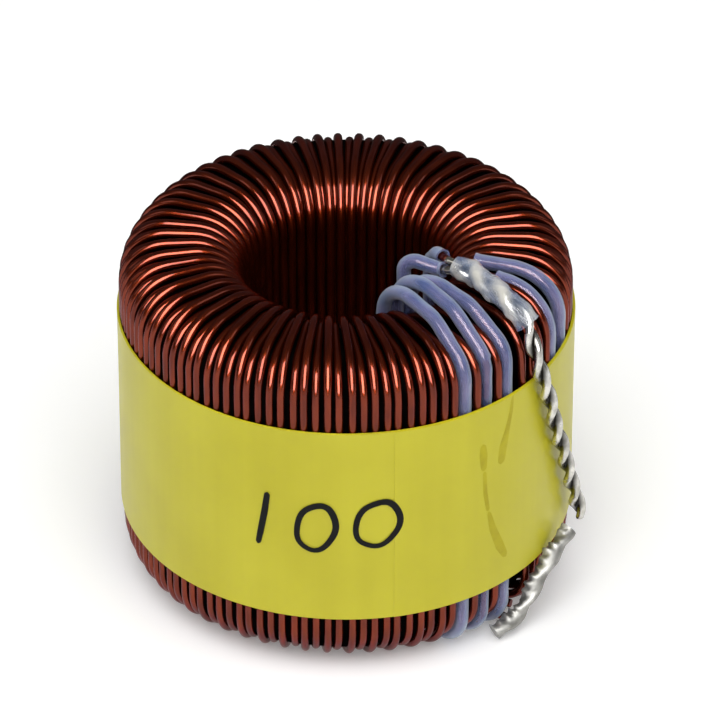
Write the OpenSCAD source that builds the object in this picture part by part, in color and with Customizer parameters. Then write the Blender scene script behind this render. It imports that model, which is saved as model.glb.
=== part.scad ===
// Toroidal power inductor: a stack of ring cores wound with two parallel enamelled wires,
// bound with a tape band, with sleeved end turns and two twisted, tinned leads.
// The axis of the core is Z, and the origin is the middle of the core stack.
// Angles are measured round the axis from the front (-Y), positive towards the right (+X).

/* [Core stack] */
// Outer diameter of one ring core, over its coating
ring_od = 54.6; // [44:0.1:68]
// Inner diameter of one ring core, over its coating
ring_id = 33.2; // [31:0.1:38]
// Height of one ring core
ring_h = 14; // [11:0.1:18]
// Edge radius of a ring core
ring_edge = 1.8; // [0.5:0.1:2]
// Bond line between two rings
bond_gap = 0.1; // [0.02:0.01:0.3]
// Thickness of the film wrapped round the stack
film_t = 0.15; // [0.05:0.01:0.3]
// Space between the film and the rings
film_fit = 0.05; // [0.01:0.01:0.1]

/* [Winding] */
// Wire diameter over the enamel
wire_d = 1.15; // [0.95:0.01:1.2]
// Space between neighbouring wires of one strand in the hole
wire_gap = 0.24; // [0.2:0.01:0.4]
// How far a wire strays from its even spacing on the outside, in degrees
stray_out = 0.3; // [0:0.05:0.3]
// How far a wire strays from its even spacing in the hole, in degrees
stray_in = 0.2; // [0:0.05:0.2]
// Angle of the first bare pass on the outside
bare_first = 25.4; // [24:0.1:26]
// Angle of the last bare pass on the outside
bare_last = 77.5; // [77:0.5:80]
// Same two angles inside the hole, where the turns crowd together
bare_first_inside = 20; // [18:0.5:21]
bare_last_inside = 81; // [80:0.5:83]
// Stand-off of the sleeved wires from the film on the outside, where the turns bow out
side_stand_off = 0.65; // [0.15:0.05:1]
// Stand-off of the second row of wires from the film in the hole
hole_stand_off = 0.9; // [0.6:0.05:1.2]
// Stand-off of the lower level of wires from the film on the top and bottom
face_stand_off = 1.15; // [0.9:0.05:1.5]

/* [Sleeves] */
// Wall of the insulating sleeves
sleeve_wall = 0.275; // [0.2:0.005:0.35]
// Space between a wire and its sleeve
sleeve_fit = 0.1; // [0.05:0.01:0.15]
// Space between a sleeve and what it lies against
sleeve_gap = 0.15; // [0.1:0.01:0.2]
// How far the two part-sleeved turns stand above the bare ones
sleeve_proud = 0.65; // [0.4:0.05:1]

/* [Tape band] */
// Width of the tape
tape_w = 30; // [20:0.5:34]
// Thickness of one turn of tape
tape_layer = 0.07; // [0.04:0.01:0.1]
// Full turns of tape
tape_turns = 4; // [2:1:6]
// How far the middle of the band lies below the middle of the core
tape_drop = 0.6; // [0:0.1:2]
// Angle of the cut end of the tape
tape_end = 12; // [0:1:25]
// Arc of the last, part turn of tape
tape_last_arc = 250; // [60:5:300]

/* [Leads] */
// Length of twisted lead for one full turn of the twist
lay = 9.8; // [6:0.1:12]
// Wall of the clear shrink tube
shrink_wall = 0.25; // [0.15:0.05:0.3]
// Space between the twisted wires and the shrink tube
shrink_fit = 0.25; // [0.15:0.05:0.3]
// Space between a lead and the tape that it lies against
lead_gap = 0.15; // [0.1:0.01:0.3]

/* [Hidden] */
$fn = 32;

// Smallest space left between two pieces that lie against each other
clear = 0.05;

// Core stack and film
core_r_out = ring_od / 2;
core_r_in = ring_id / 2;
core_half = (3 * ring_h + 2 * bond_gap) / 2;
film_skin = film_fit + film_t;
film_r_out = core_r_out + film_skin;
film_r_in = core_r_in - film_skin;
film_half = core_half + film_skin;

// Sleeves
sleeve_id = wire_d + 2 * sleeve_fit;
sleeve_d = sleeve_id + 2 * sleeve_wall;

// Radii and heights of the wire centres. Strand a lies in the inner row of the hole and on the
// upper level of the faces, and strand b behind and under it, nested in its grooves.
wire_r = wire_d / 2;
row_step = 0.935 * wire_d;
level_step = 0.87 * wire_d;
row_b = film_r_in - hole_stand_off - wire_r;
row_a = row_b - row_step;
level_b = film_half + face_stand_off + wire_r;
level_a = level_b + level_step;
winding_r = film_r_out + side_stand_off + sleeve_d + clear;
winding_half = level_a + wire_r;
leg_bare = winding_r - wire_r;
leg_sleeved = film_r_out + side_stand_off + sleeve_d / 2;

// Sleeved turns stand inside both rows of the hole, proud of the top face and flush with the
// bottom one. The two strand ends stand one more row in. The fully sleeved turns rise towards
// the hole as arches, so they have a corner at the hole, one on the way out and one at the side.
row_sleeved = row_a - wire_r - sleeve_gap - sleeve_d / 2 - clear;
end_row = row_sleeved - sleeve_d - sleeve_gap;
level_sleeved_top = winding_half + sleeve_proud - sleeve_d / 2;
level_sleeved_bottom = winding_half - sleeve_d / 2 - clear;
arch_in = [1.7, 3.1, 1.5];
arch_out = [0.4, 1, 0.6];
arch_share = 0.63;
arch_foot = film_half - 0.4;

// How much nearer to the core the bare wires lie that pass under the sleeved ones
under_sleeves = 0.5;

// Bend radii at the wire centre: in the hole, at the corner of an arch, and on the outside
bend_in_a = 6.5;
bend_in_b = 5.2;
bend_in_full = 5.5;
bend_in_part = 3.5;
bend_arch = 5;
bend_out_a = 5.9;
bend_out_b = 5;
bend_out_full = 4;
bend_out_part = 6.4;
bend_foot = 4.5;

// Tape band
tape_r_in = winding_r + 0.03;
tape_full = tape_turns * tape_layer;
tape_r_out = tape_r_in + tape_full + tape_layer;

function between(a, b, t) = a + (b - a) * t;
function degrees(length, radius) = length / radius * 180 / PI;

// The passes in winding order: each one goes up the hole, over the top and down the outside.
// In the first group, sleeved turns of strand a take turns with bare ones of strand b. The
// outer legs of the last group lean under the tape, which leaves room for the bottom lead.
firsts = 6;
first_gap = 0.2;
first_gap_inside = 0.11;
first_pitch = degrees((sleeve_d + wire_d) / 2 + first_gap, leg_sleeved);
first_pitch_inside = degrees(sleeve_d + first_gap_inside, row_sleeved) / 2;
first_from = bare_first + 3;
first_from_inside = 23.8;
first_out = [for (k = [firsts - 1 : -1 : 0]) first_from + k * first_pitch];
first_in = [each [for (k = [firsts - 2 : -1 : 0]) first_from_inside + k * first_pitch_inside],
            first_from_inside + 0.6];
last_gap_inside = 0.02;
last_pitch_inside = degrees(wire_d + last_gap_inside, row_a) / 2;
last_from_inside = 59.2;
last_out = [73.8, 66, 62.2, 58.2, 54.2, 50.2];
last_foot = [73.8, 66, 63, 60.2, 57.4, 54.6];
last_in = [75, 70.6, each [for (k = [3 : -1 : 0]) last_from_inside + k * last_pitch_inside]];
bare_arc = 360 + bare_first_inside - bare_last_inside;
bare_passes = 2 * round(bare_arc / degrees(wire_d + wire_gap, row_a));
lasts_from = firsts + bare_passes;
passes = lasts_from + len(last_out);
rear_pass = lasts_from;
right_pass = lasts_from + 1;

function bare_share(i) = (i - firsts) / (bare_passes - 1);
function stray(i, most) = most * (0.6 * sin(137.5 * i) + 0.4 * sin(61 * i));
function angle_at(i, first, last, from, to, most) =
    i < firsts ? first[i]
    : i < lasts_from ? between(from, to - 360, bare_share(i)) + stray(i, most)
    : last[i - lasts_from] - 360;
function out_angle(i) = angle_at(i, first_out, last_out, bare_first, bare_last, stray_out);
function foot_angle(i) = angle_at(i, first_out, last_foot, bare_first, bare_last, stray_out);
function in_angle(i) =
    angle_at(i, first_in, last_in, bare_first_inside, bare_last_inside, stray_in);

function is_a(i) = i % 2 == 0;
function full_sleeve(i) = i < firsts && is_a(i);
function part_sleeve(i) = i == rear_pass || i == right_pass;
function any_sleeve(i) = full_sleeve(i) || part_sleeve(i);
function row(i) = full_sleeve(i) ? row_sleeved : is_a(i) ? row_a : row_b;
function level(i) = is_a(i) ? level_a : level_b;
function top_in(i) = full_sleeve(i) ? winding_half + arch_in[i / 2] : level(i);
function top_out(i) = full_sleeve(i) ? arch_foot : part_sleeve(i) ? level_sleeved_top : level(i);
function bottom_in(i) = i < firsts && !is_a(i) ? level_b - under_sleeves : level(i);
function bottom_out(i) = full_sleeve(i) ? level_sleeved_bottom : bottom_in(i);
function leg(i) = any_sleeve(i) ? leg_sleeved : leg_bare;
function bare_in(i) = is_a(i) ? bend_in_a : bend_in_b;
function bare_out(i) = is_a(i) ? bend_out_a : bend_out_b;
function fitted(i, bend) = min(bend, 0.49 * (leg(i) - row(i)));
function bend_in_bottom(i) = fitted(i, full_sleeve(i) ? bend_in_full : bare_in(i));
function bend_in_top(i) = part_sleeve(i) ? fitted(i, bend_in_part) : bend_in_bottom(i);
function bend_out_top(i) =
    fitted(i, full_sleeve(i) ? bend_out_full : part_sleeve(i) ? bend_out_part : bare_out(i));
function bend_out_bottom(i) = fitted(i, any_sleeve(i) ? bend_foot : bare_out(i));

// A point at an angle, a radius and a height
function at(angle, r, z) = [r * sin(angle), -r * cos(angle), z];

// The corner points of one pass, each with its bend radius and the steps in its bend
wire_steps = 2;
fine_steps = 3;
wire_sides = 6;
sleeve_sides = 8;
shrink_spacing = 1.4;
lay_rings = 12;
function steps(i) = any_sleeve(i) ? fine_steps : wire_steps;
function in_bottom(i) = [at(in_angle(i), row(i), -bottom_in(i)), bend_in_bottom(i), steps(i)];
function in_top(i) = [at(in_angle(i), row(i), top_in(i)), bend_in_top(i), steps(i)];
function out_top(i) = [at(out_angle(i), leg(i), top_out(i)), bend_out_top(i), steps(i)];
function out_bottom(i) =
    [at(foot_angle(i), leg(i), -bottom_out(i)), bend_out_bottom(i), steps(i)];
function over_top(i) =
    !full_sleeve(i) ? [in_top(i), out_top(i)]
    : let (p = between(in_top(i)[0], out_top(i)[0], arch_share))
      [in_top(i), [[p[0], p[1], winding_half + arch_out[i / 2]], bend_arch, steps(i)],
       out_top(i)];
function pass_corners(i) = [in_bottom(i), each over_top(i), out_bottom(i)];

// Each strand is divided in the middle of a bottom link after every few turns. The stretches of
// a strand are solids of their own, so that each one bends only a little way round the hole.
stretch_turns = 4;
split_gap = 0.02;
function split(i, side) =
    let (a = out_bottom(i)[0], b = in_bottom(i + 2)[0])
    [between(a, b, 0.5) + unit(b - a) * side * split_gap / 2, 0];
function stretches(first, start, end) =
    let (step = 2 * stretch_turns, count = ceil((passes - first) / step))
    [for (k = [0 : count - 1])
        let (from = first + k * step, to = min(from + step, passes + first) - 2)
        bent_path([each k == 0 ? start : [split(from - 2, 1)],
                   for (i = [from : 2 : to]) each pass_corners(i),
                   each k == count - 1 ? end : [split(to, -1)]])];

// Shrink tube, which lies on the top of the winding
shrink_id = 2 * wire_d + 2 * shrink_fit;
shrink_od = shrink_id + 2 * shrink_wall;
tube_level = winding_half + shrink_od / 2 + clear;
tube_from = row_a + 3.4;
lead_from = row_a + 4.4;

// Where the strands leave the bottom lead, and the last leg of each strand, which comes up
// through the hole, crests over the winding and turns into the shrink tube
root_r = leg_bare - 1.3;
start_a = [[at(49, root_r, -level_a), 0]];
start_b = [[at(51.5, root_r, under_sleeves - level_b), 0]];
end_a = [[at(56.5, row_a, -level_a), bend_in_a, wire_steps],
         [at(56.5, row_a, -level_a + 8), 3, wire_steps],
         [at(60, end_row, -0.32 * winding_half), 3, wire_steps],
         [at(65, end_row, 0.08 * winding_half), 4, wire_steps],
         [at(72, end_row + 1.6, 0.4 * winding_half), 3, wire_steps],
         [at(72, end_row + 1.6, winding_half - 1), 2, fine_steps],
         [at(66.5, row_a - 0.8, winding_half + 1.05), 1.4, fine_steps],
         [at(59, row_a + 1.8, winding_half + 1.75), 0.8, wire_steps],
         [at(58.6, lead_from - 0.35, tube_level), 0]];
end_b = [[at(53.5, row_b, -level_b), bend_in_b, wire_steps],
         [at(53.5, row_b, -0.16 * winding_half), 3, wire_steps],
         [at(52, end_row, 0.2 * winding_half), 2.5, wire_steps],
         [at(49, end_row, 0.53 * winding_half), 3, wire_steps],
         [at(49, end_row, winding_half + 1.4), 1.8, fine_steps],
         [at(56, row_a + 1, winding_half + 0.6), 1.2, wire_steps],
         [at(55, tube_from - 0.2, tube_level - 0.4), 0.8, wire_steps],
         [at(54.5, lead_from - 0.35, tube_level), 0]];

// Routes of the tube and of the twisted leads, as angle, radius and height. Across the top a
// radius is a share of the way from the hole to the outside, and down the side it lies beside
// the tape. Down the side a height is a share of the way from the middle to the top.
function across(share) = between(row_a, leg_bare, share);
beside = tape_r_out + lead_gap + wire_d;
top = winding_half;
tube_route = [[57, tube_from, tube_level], [56.6, across(0.37), tube_level],
              [53.9, across(0.56), tube_level], [52, across(0.75), tube_level - 0.2],
              [51.9, across(0.915), top + 0.4], [52.3, across(1.02), top - 1.2]];
top_route = [[56.6, lead_from, tube_level], [56.6, across(0.37), tube_level],
             [53.9, across(0.56), tube_level], [52, across(0.75), tube_level - 0.2],
             [51.9, across(0.915), top + 0.4], [52.2, across(1.02), top - 1.2],
             [51.5, beside - 0.55, top - 4.6], [53.9, beside, 0.61 * top],
             [57.1, beside, 0.423 * top], [60.4, beside, 0.195 * top],
             [63.8, beside, 0.04 * top], [68.8, beside + 0.1, -0.228 * top],
             [74.4, beside + 0.5, -0.512 * top], [75.4, beside + 0.7, -0.585 * top]];
bottom_route = [[41.4, leg_bare + 0.5, 1 - top], [44.6, leg_bare + 0.8, 1.7 - top],
                [48.4, leg_bare + 1.1, 2.4 - top], [51.4, leg_bare + 1.5, 4.3 - top],
                [54.3, leg_bare + 1.8, 6.5 - top],
                [57.4, beside, -0.656 * top], [61.8, beside + 0.15, -0.614 * top],
                [66.9, beside + 0.6, -0.557 * top]];

// A path along corner points, each with its bend radius and the number of steps in its bend.
// The points inside a bend lie a little outside its arc, so that the chords straddle it.
function unit(v) = v / norm(v);
function arc(before, corner, after, r, steps) =
    let (u = unit(corner - before),
         v = unit(after - corner),
         swing = acos(u * v),
         n = unit(cross(u, v)),
         centre = corner + unit(v - u) * r / cos(swing / 2),
         spread = 2 / (1 + cos(swing / steps / 2)))
    [for (k = [0 : steps])
        let (a = swing * k / steps, out = k == 0 || k == steps ? r : r * spread)
        centre + cross(u, n) * out * cos(a) + u * out * sin(a)];
function bent_path(p) =
    [for (i = [0 : len(p) - 1])
        each p[i][1] == 0 ? [p[i][0]]
             : arc(p[i - 1][0], p[i][0], p[i + 1][0], p[i][1], p[i][2])];

// A smooth path through route points given as angle, radius and height, with points no
// further apart than the spacing
function cubic(a, b, c, d, t) =
    0.5 * (2 * b + (c - a) * t + (2 * a - 5 * b + 4 * c - d) * t * t
           + (3 * b - a - 3 * c + d) * t * t * t);
function clamped(p, i) = p[max(0, min(len(p) - 1, i))];
function smooth(route, spacing) =
    let (p = [for (q = route) at(q[0], q[1], q[2])], last = len(p) - 1)
    [for (i = [0 : last - 1])
        let (n = ceil(norm(p[i + 1] - p[i]) / spacing))
        for (k = [0 : i == last - 1 ? n : n - 1])
            cubic(clamped(p, i - 1), p[i], p[i + 1], clamped(p, i + 2), k / n)];

// Length of a path up to each of its points
function run_lengths(p, i = 1, sums = [0]) =
    i == len(p) ? sums
    : run_lengths(p, i + 1, concat(sums, [sums[i - 1] + norm(p[i] - p[i - 1])]));

// Sections: a round one, and the two lobes of a twisted pair
function round_section(d, sides) =
    [for (k = [0 : sides - 1]) [cos(360 * k / sides), sin(360 * k / sides)] * d / 2];
lobe_points = 6;
lobe_span = 126;
function pair_section(d) =
    [for (side = [0, 180])
        for (k = [0 : lobe_points - 1])
            let (a = side + between(-lobe_span, lobe_span, k / (lobe_points - 1)))
            [cos(side) + cos(a), sin(side) + sin(a)] * d / 2];

// The section set across a path at each of its points, turned once per lay where lay is over 0.
// Its first axis lies as near as it can to the direction round the core.
function heading(p, i) =
    i == 0 ? unit(p[1] - p[0])
    : i == len(p) - 1 ? unit(p[i] - p[i - 1])
    : unit(unit(p[i + 1] - p[i]) + unit(p[i] - p[i - 1]));
function rings(p, section, lay) =
    let (runs = run_lengths(p))
    [for (i = [0 : len(p) - 1])
        let (t = heading(p, i),
             round = unit([-p[i][1], p[i][0], 0]),
             x = unit(round - t * (round * t)),
             y = cross(t, x),
             a = lay > 0 ? 360 * runs[i] / lay : 0)
        each [for (s = section)
                 p[i] + x * (s[0] * cos(a) - s[1] * sin(a)) + y * (s[0] * sin(a) + s[1] * cos(a))]];
function skin(rows, m, from, out) =
    [for (i = [0 : rows - 2])
        for (k = [0 : m - 1])
            let (a = from + i * m + k, b = from + i * m + (k + 1) % m, c = a + m, d = b + m)
            each out ? [[a, d, b], [a, c, d]] : [[a, b, d], [a, d, c]]];
function disc(m, from, out) = [[for (k = [0 : m - 1]) from + (out ? k : m - 1 - k)]];
function washer(m, outer, inner, out) =
    [for (k = [0 : m - 1])
        let (a = outer + k, b = outer + (k + 1) % m, c = inner + k, d = inner + (k + 1) % m)
        each out ? [[a, b, d], [a, d, c]] : [[a, d, b], [a, c, d]]];

// Solid rods along paths: all their points follow each other, so each rod's faces count from
// where its own points start
module rods(paths, section, lay = 0) {
    m = len(section);
    starts = [for (k = 0, n = 0; k < len(paths); n = n + m * len(paths[k]), k = k + 1) n];
    polyhedron([for (p = paths) each rings(p, section, lay)],
               [for (k = [0 : len(paths) - 1])
                   let (rows = len(paths[k]), from = starts[k], last = from + (rows - 1) * m)
                   each concat(skin(rows, m, from, true), disc(m, from, true),
                               disc(m, last, false))]);
}

module tube(path, d, wall, sides) {
    last = (len(path) - 1) * sides;
    bore = last + sides;
    polyhedron(concat(rings(path, round_section(d, sides), 0),
                      rings(path, round_section(d - 2 * wall, sides), 0)),
               concat(skin(len(path), sides, 0, true), skin(len(path), sides, bore, false),
                      washer(sides, 0, bore, true),
                      washer(sides, last, bore + last, false)));
}

// A rounded rectangle of a ring's section, for rotate_extrude
module ring_section(r_in, r_out, half, edge) {
    translate([r_in + edge, -half]) square([r_out - r_in - 2 * edge, 2 * half]);
    translate([r_in, -half + edge]) square([r_out - r_in, 2 * (half - edge)]);
    for (r = [r_in + edge, r_out - edge])
        for (z = [-half + edge, half - edge])
            translate([r, z]) circle(r = edge);
}

module core_ring(place) {
    color("dimgray")
        translate([0, 0, place * (ring_h + bond_gap)])
            rotate_extrude() ring_section(core_r_in, core_r_out, ring_h / 2, ring_edge);
}

module core_film() {
    color([0.1, 0.1, 0.12])
        rotate_extrude()
            difference() {
                ring_section(film_r_in, film_r_out, film_half, ring_edge + film_skin);
                ring_section(core_r_in - film_fit, core_r_out + film_fit, core_half + film_fit,
                             ring_edge + film_fit);
            }
}

module winding_strand_a() {
    color([0.36, 0.14, 0.09])
        rods(stretches(0, start_a, end_a), round_section(wire_d, wire_sides));
}

module winding_strand_b() {
    color([0.42, 0.17, 0.11])
        rods(stretches(1, start_b, end_b), round_section(wire_d, wire_sides));
}

module sleeve(corners) {
    color([0.45, 0.48, 0.68]) tube(bent_path(corners), sleeve_d, sleeve_wall, sleeve_sides);
}

// A sleeve on a whole turn: from inside the hole, over the top, down and round the bottom edge
turn_sleeve_reach = 0.42;
module turn_sleeve(i) {
    foot = [at(in_angle(i), row(i), 0.25 * winding_half), 0];
    tail = [between(out_bottom(i)[0], in_bottom(i + 2)[0], turn_sleeve_reach), 0];
    sleeve([foot, each over_top(i), out_bottom(i), tail]);
}

// A sleeve that starts on the top face, past the bend out of the hole, and ends under the tape
right_past_bend = 3.1;
rear_past_bend = 0.3;
part_sleeve_end = 8;
module part_turn_sleeve(i, past_bend) {
    share = (bend_in_top(i) + past_bend) / (leg(i) - row(i));
    sleeve([[between(in_top(i)[0], out_top(i)[0], share), 0], out_top(i),
            [at(out_angle(i), leg(i), -part_sleeve_end), 0]]);
}

// A sleeve on a strand end that rises out of the hole and past its crest towards the tube
end_foot_a = 0.45 * winding_half;
end_foot_b = 0.61 * winding_half;
end_reach_a = 0.5;
end_reach_b = 0.3;
module end_sleeve(end, foot, past, reach) {
    rise = past - 1;
    low = [end[rise][0][0], end[rise][0][1], foot];
    up = [for (k = [rise : past]) end[k]];
    sleeve([[low, 0], each up, [between(end[past][0], end[past + 1][0], reach), 0]]);
}

module shrink_tube() {
    color([0.85, 0.88, 0.92])
        tube(smooth(tube_route, shrink_spacing), shrink_od, shrink_wall, sleeve_sides);
}

module twisted_lead(route) {
    color("silver") rods([smooth(route, lay / lay_rings)], pair_section(wire_d), lay);
}

// The band is wound solid, and its last, part turn ends in a step
module tape_band() {
    color([0.82, 0.8, 0.25])
        translate([0, 0, -tape_drop])
            difference() {
                rotate_extrude() translate([tape_r_in, -tape_w / 2])
                    square([tape_full + tape_layer, tape_w]);
                rotate([0, 0, tape_end - 90])
                    rotate_extrude(angle = 360 - tape_last_arc)
                        translate([tape_r_out - tape_layer, -tape_w])
                            square([2 * tape_layer, 2 * tape_w]);
            }
}

core_ring(-1);  // core_ring_lower
core_ring(0);  // core_ring_middle
core_ring(1);  // core_ring_upper
core_film();
winding_strand_a();
winding_strand_b();
turn_sleeve(4);  // turn_sleeve_front
turn_sleeve(2);  // turn_sleeve_second
turn_sleeve(0);  // turn_sleeve_third
part_turn_sleeve(right_pass, right_past_bend);  // turn_sleeve_right
part_turn_sleeve(rear_pass, rear_past_bend);  // turn_sleeve_rear
end_sleeve(end_a, end_foot_a, 6, end_reach_a);  // end_sleeve_a
end_sleeve(end_b, end_foot_b, 5, end_reach_b);  // end_sleeve_b
shrink_tube();
twisted_lead(top_route);  // top_lead
twisted_lead(bottom_route);  // bottom_lead
tape_band();
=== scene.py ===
# %% [markdown]
# # A toroidal power inductor
# The inductor is a stack of ring cores wound with two parallel enamelled wires and bound with
# yellow tape. Its CAD model gives every size and place. Here each wire, sleeve and lead is
# drawn again as a fine smooth mesh on the same route, and each surface gets the finish that
# its real material has. The ring cores stay as the CAD model has them. The first cell loads the
# CAD model and keeps its box.

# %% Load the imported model
import math

import bmesh
import bpy
import numpy as np
from mathutils import Matrix, Vector


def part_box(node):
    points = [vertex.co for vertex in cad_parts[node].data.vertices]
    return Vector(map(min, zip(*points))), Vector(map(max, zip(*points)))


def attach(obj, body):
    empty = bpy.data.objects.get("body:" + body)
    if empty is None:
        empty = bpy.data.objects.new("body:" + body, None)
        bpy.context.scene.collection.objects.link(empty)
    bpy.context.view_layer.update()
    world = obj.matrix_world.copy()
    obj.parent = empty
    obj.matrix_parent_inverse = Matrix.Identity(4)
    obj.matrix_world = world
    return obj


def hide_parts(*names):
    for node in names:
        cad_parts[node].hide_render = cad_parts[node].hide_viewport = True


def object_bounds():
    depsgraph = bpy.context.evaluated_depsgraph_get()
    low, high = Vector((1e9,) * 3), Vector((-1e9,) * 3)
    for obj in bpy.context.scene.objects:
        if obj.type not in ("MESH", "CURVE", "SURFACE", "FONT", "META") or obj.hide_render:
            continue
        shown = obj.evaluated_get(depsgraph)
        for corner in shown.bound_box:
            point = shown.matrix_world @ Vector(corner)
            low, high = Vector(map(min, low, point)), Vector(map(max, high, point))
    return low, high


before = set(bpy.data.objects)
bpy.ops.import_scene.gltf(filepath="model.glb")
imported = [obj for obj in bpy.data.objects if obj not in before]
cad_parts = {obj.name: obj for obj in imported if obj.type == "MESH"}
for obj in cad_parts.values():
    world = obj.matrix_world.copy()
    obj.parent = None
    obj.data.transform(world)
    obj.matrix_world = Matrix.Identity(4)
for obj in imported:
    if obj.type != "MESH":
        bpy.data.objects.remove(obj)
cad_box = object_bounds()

MM = 0.001
print("nodes:", len(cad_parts))

# %% [markdown]
# ## The camera
# A camera with a long lens stands far away, so that the sides of the coil stay upright.
# The camera looks down at the coil from the front. It stands 0.85 m away and is aimed a little
# off the middle, which keeps a small margin round the object.

# %% Camera
CAMERA_ELEVATION = math.radians(35.13)
CAMERA_DISTANCE = 0.8514
CAMERA_AIM = Vector((0, 0, -0.0006))
AIM_OFF_RIGHT = math.radians(0.128)
AIM_OFF_UP = math.radians(0.306)


def aimed_camera(name, lens):
    """A camera in front of the object, held level."""
    back = Vector((0, -math.cos(CAMERA_ELEVATION), math.sin(CAMERA_ELEVATION)))
    up = Vector((0, math.sin(CAMERA_ELEVATION), math.cos(CAMERA_ELEVATION)))
    place = CAMERA_AIM + back * CAMERA_DISTANCE
    aim = CAMERA_AIM + Vector((1, 0, 0)) * CAMERA_DISTANCE * math.tan(AIM_OFF_RIGHT)
    aim += up * CAMERA_DISTANCE * math.tan(AIM_OFF_UP)
    z = (place - aim).normalized()
    x = up.cross(z).normalized()
    camera = bpy.data.objects.new(name, bpy.data.cameras.new(name))
    camera.matrix_world = Matrix.Translation(place) @ Matrix((x, z.cross(x), z)).transposed().to_4x4()
    camera.data.lens = lens
    camera.data.sensor_width = 36
    camera.data.clip_end = 10
    bpy.context.scene.collection.objects.link(camera)
    return camera


camera = aimed_camera("camera", lens=317.4)
bpy.context.scene.camera = camera
print("camera at", [round(v, 3) for v in camera.matrix_world.translation])

# %% [markdown]
# ## Sizes
# Sizes are in millimetres. What the CAD model can tell is read from the boxes of its nodes,
# and the rest repeats its driving sizes: the wire, the sleeves and the spaces between them.
# A row is a radius in the hole, a leg is one on the outside, and a level is a height above or
# below. Places round the coil are an angle from the front, positive to the right, a radius and
# a height.

# %% Sizes from the frame
film_r_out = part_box("core_film")[1][0] / MM
film_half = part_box("core_film")[1][2] / MM
tape_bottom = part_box("tape_band")[0][2] / MM
tape_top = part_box("tape_band")[1][2] / MM
tape_r_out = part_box("tape_band")[1][1] / MM
floor_level = cad_box[0][2]

film_r_in = 16.4
wire_d = 1.15
wire_r = wire_d / 2
wire_gap = 0.24
clear = 0.05
sleeve_wall = 0.275
sleeve_fit = 0.1
sleeve_gap = 0.15
sleeve_proud = 0.65
sleeve_d = wire_d + 2 * sleeve_fit + 2 * sleeve_wall
hole_stand_off = 0.9
face_stand_off = 1.15
side_stand_off = 0.65
row_step = 0.935 * wire_d
level_step = 0.87 * wire_d

row_b = film_r_in - hole_stand_off - wire_r
row_a = row_b - row_step
level_b = film_half + face_stand_off + wire_r
level_a = level_b + level_step
winding_r = film_r_out + side_stand_off + sleeve_d + clear
winding_half = level_a + wire_r
leg_bare = winding_r - wire_r
leg_sleeved = film_r_out + side_stand_off + sleeve_d / 2
row_sleeved = row_a - wire_r - sleeve_gap - sleeve_d / 2 - clear
end_row = row_sleeved - sleeve_d - sleeve_gap
level_sleeved_top = winding_half + sleeve_proud - sleeve_d / 2
level_sleeved_bottom = winding_half - sleeve_d / 2 - clear
print("winding", round(2 * winding_r, 1), "x", round(2 * winding_half, 1), "mm")

# %% [markdown]
# ## Paths with round bends
# A wound wire is straight between its bends, and each bend is an arc. So a path is written as
# a list of corner points, each with its bend radius, and one function turns them into points.

# %% Points and bends
DEGREES_A_STEP = 6


def at(angle, r, z):
    """The point at an angle round the coil, a radius and a height."""
    turn = math.radians(angle)
    return np.array([r * math.sin(turn), -r * math.cos(turn), z])


def between(a, b, t):
    return a + (b - a) * t


def unit(v):
    return v / np.linalg.norm(v)


def bend(before, corner, after, r):
    """Points on the arc that rounds one corner of a path."""
    u = unit(corner - before)
    v = unit(after - corner)
    swing = math.acos(max(-1, min(1, float(u @ v))))
    side = np.cross(u, unit(np.cross(u, v)))
    centre = corner + unit(v - u) * r / math.cos(swing / 2)
    steps = max(2, math.ceil(math.degrees(swing) / DEGREES_A_STEP))
    return [centre + r * (side * math.cos(a) + u * math.sin(a)) for a in np.linspace(0, swing, steps + 1)]


def bent_path(corners):
    """A path from (point, bend radius) corners; a radius of 0 is an end."""
    points = []
    for i, (point, r) in enumerate(corners):
        points += bend(corners[i - 1][0], point, corners[i + 1][0], r) if r else [point]
    return np.array(points)


quarter_bend = bend(at(0, 0, 0), at(0, 9, 0), at(0, 9, 9), 3)
print("points on a quarter bend:", len(quarter_bend))

# %% Paths


def resampled(path, spacing):
    """The same path with points no further apart than the spacing."""
    points = [path[0]]
    for a, b in zip(path, path[1:]):
        n = max(1, math.ceil(np.linalg.norm(b - a) / spacing))
        points += [between(a, b, k / n) for k in range(1, n + 1)]
    return np.array(points)


def smooth_route(route, spacing):
    """A Catmull-Rom curve through (angle, radius, height) route points."""
    p = [at(*q) for q in route]
    p = [p[0]] + p + [p[-1]]
    points = [p[1]]
    for a, b, c, d in zip(p, p[1:], p[2:], p[3:]):
        n = math.ceil(np.linalg.norm(c - b) / spacing)
        for t in np.arange(1, n + 1) / n:
            points.append(0.5 * (2 * b + (c - a) * t + (2 * a - 5 * b + 4 * c - d) * t ** 2
                                 + (3 * b - a - 3 * c + d) * t ** 3))
    return np.array(points)


def run_lengths(path):
    """How far along the path each of its points lies."""
    return np.concatenate([[0], np.cumsum(np.linalg.norm(np.diff(path, axis=0), axis=1))])


print("length of the quarter bend:", round(run_lengths(quarter_bend)[-1], 2), "mm")

# %% [markdown]
# ## How the coil is wound
# One pass of wire goes up the hole, over the top, down the outside and back under the coil.
# Two strands take turns: strand a keeps to the outer layer and strand b nests in its grooves.
# A wound wire never lies quite evenly, so each pass strays a little from its place. Three of
# the first six passes carry whole sleeves and rise over the edge of the hole as arches. The last
# six lie under and beside the top lead, and two of them carry part sleeves.

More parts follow.
